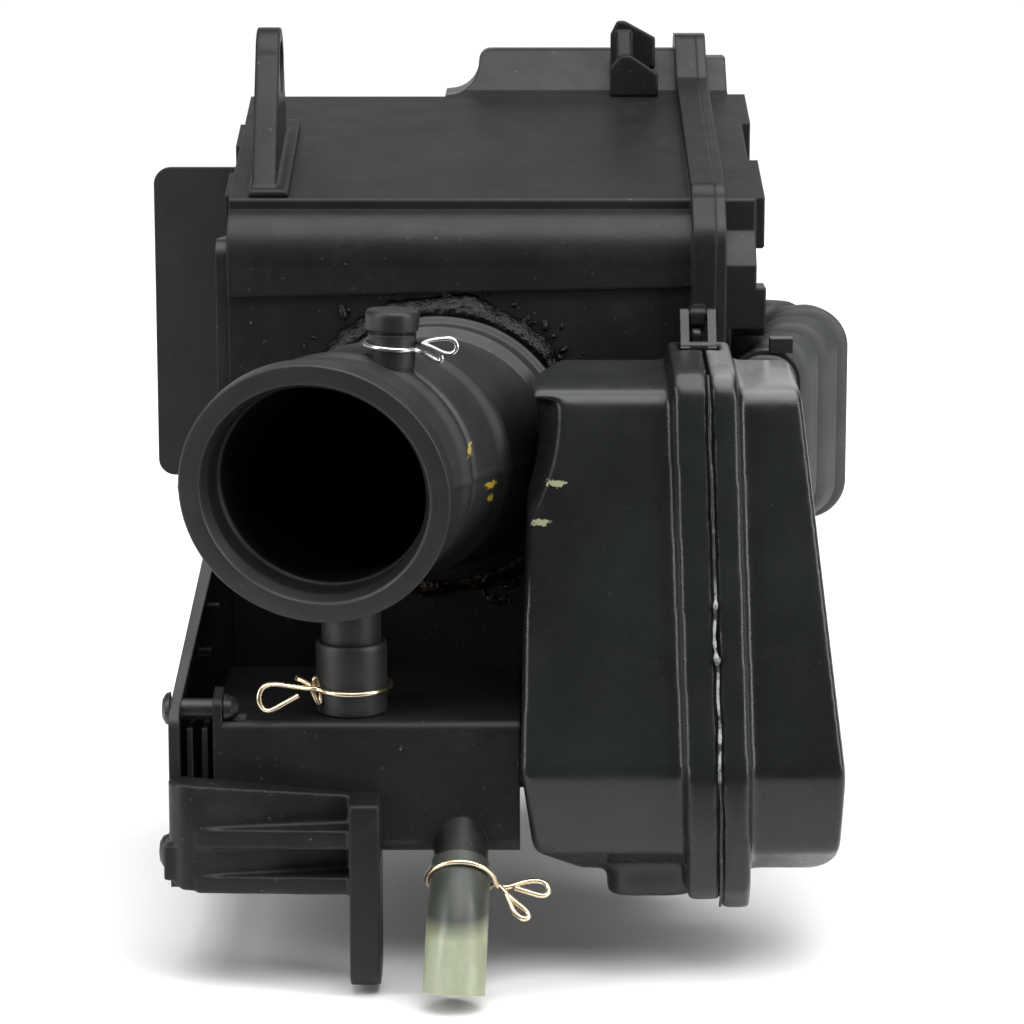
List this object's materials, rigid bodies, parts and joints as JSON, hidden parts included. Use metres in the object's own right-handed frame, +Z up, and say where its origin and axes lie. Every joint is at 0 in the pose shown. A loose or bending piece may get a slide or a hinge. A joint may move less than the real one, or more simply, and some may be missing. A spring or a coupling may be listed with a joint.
{
  "type": "air filter housing",
  "caption": "Moulded air filter housing with offset outlet boot, side resonator, ribbed intake elbow, screwed filter cover, sump drain hose, mounting ear and lower bracket.",
  "frame": {"origin": "centre of the hole in the upper mounting ear, the hole the housing hangs from", "axes": "+X along the ear's hole, from the blanked side towards the filter cover; +Y from the outlet boot back into the case; +Z up"},
  "size_m": [0.1628, 0.1822, 0.1957],
  "materials": {
    "case_plastic": "satin moulded polypropylene, fine grain",
    "cover_plastic": "satin moulded polypropylene, fine grain",
    "resonator_plastic": "smooth semi-gloss moulded plastic with weld flash",
    "panel_plastic": "satin moulded polypropylene",
    "bracket_plastic": "dull glass-filled plastic",
    "sheet_plastic": "matt flexible sheet",
    "boot_rubber": "matt moulded rubber, mould parting line",
    "elbow_rubber": "matt moulded rubber, ribbed",
    "sealant": "glossy black sealant",
    "soft_cap": "matt moulded rubber",
    "clear_hose": "milky translucent soft hose",
    "zinc_wire": "bright zinc-plated spring wire",
    "gold_wire": "yellow-passivated spring wire",
    "screw_steel": "zinc-plated screws",
    "clip_plastic": "satin nylon",
    "foam": "oiled open-cell foam",
    "gasket": "soft cord gasket"
  },
  "bodies": {
    "housing": {"main_case": "case_plastic", "sump_box": "case_plastic", "upper_ear": "case_plastic", "hose_guide": "case_plastic", "side_panel": "panel_plastic", "side_rivet": "clip_plastic", "back_plate": "sheet_plastic", "back_plate_screws": "screw_steel", "lower_bracket": "bracket_plastic", "bracket_rivet": "clip_plastic", "filter_cover": "cover_plastic", "cover_seal": "gasket", "cover_screws": "screw_steel", "element_frame": "clip_plastic", "filter_element": "foam", "resonator_inner_half": "resonator_plastic", "resonator_outer_half": "resonator_plastic", "resonator_seam_bead": "resonator_plastic", "resonator_screws": "screw_steel", "intake_elbow": "elbow_rubber", "elbow_tie": "clip_plastic", "outlet_boot": "boot_rubber", "boot_sealant": "sealant", "breather_sleeve": "soft_cap", "sleeve_clamp": "gold_wire", "drain_tube": "clear_hose", "drain_clamp": "gold_wire"},
    "breather_cap": {"breather_plug": "soft_cap", "plug_clamp": "zinc_wire"},
    "latch": {"latch_clip": "clip_plastic"}
  },
  "joints": [
    {"name": "cap_pull", "type": "slide", "parent": "housing", "child": "breather_cap", "axis": [0, 0, 1], "range_m": [0, 0.02]},
    {"name": "latch_swing", "type": "hinge", "parent": "housing", "child": "latch", "pos_m": [0.0953, -0.0419, -0.051], "axis": [-1, 0, 0], "range_deg": [0, 95]}
  ]
}
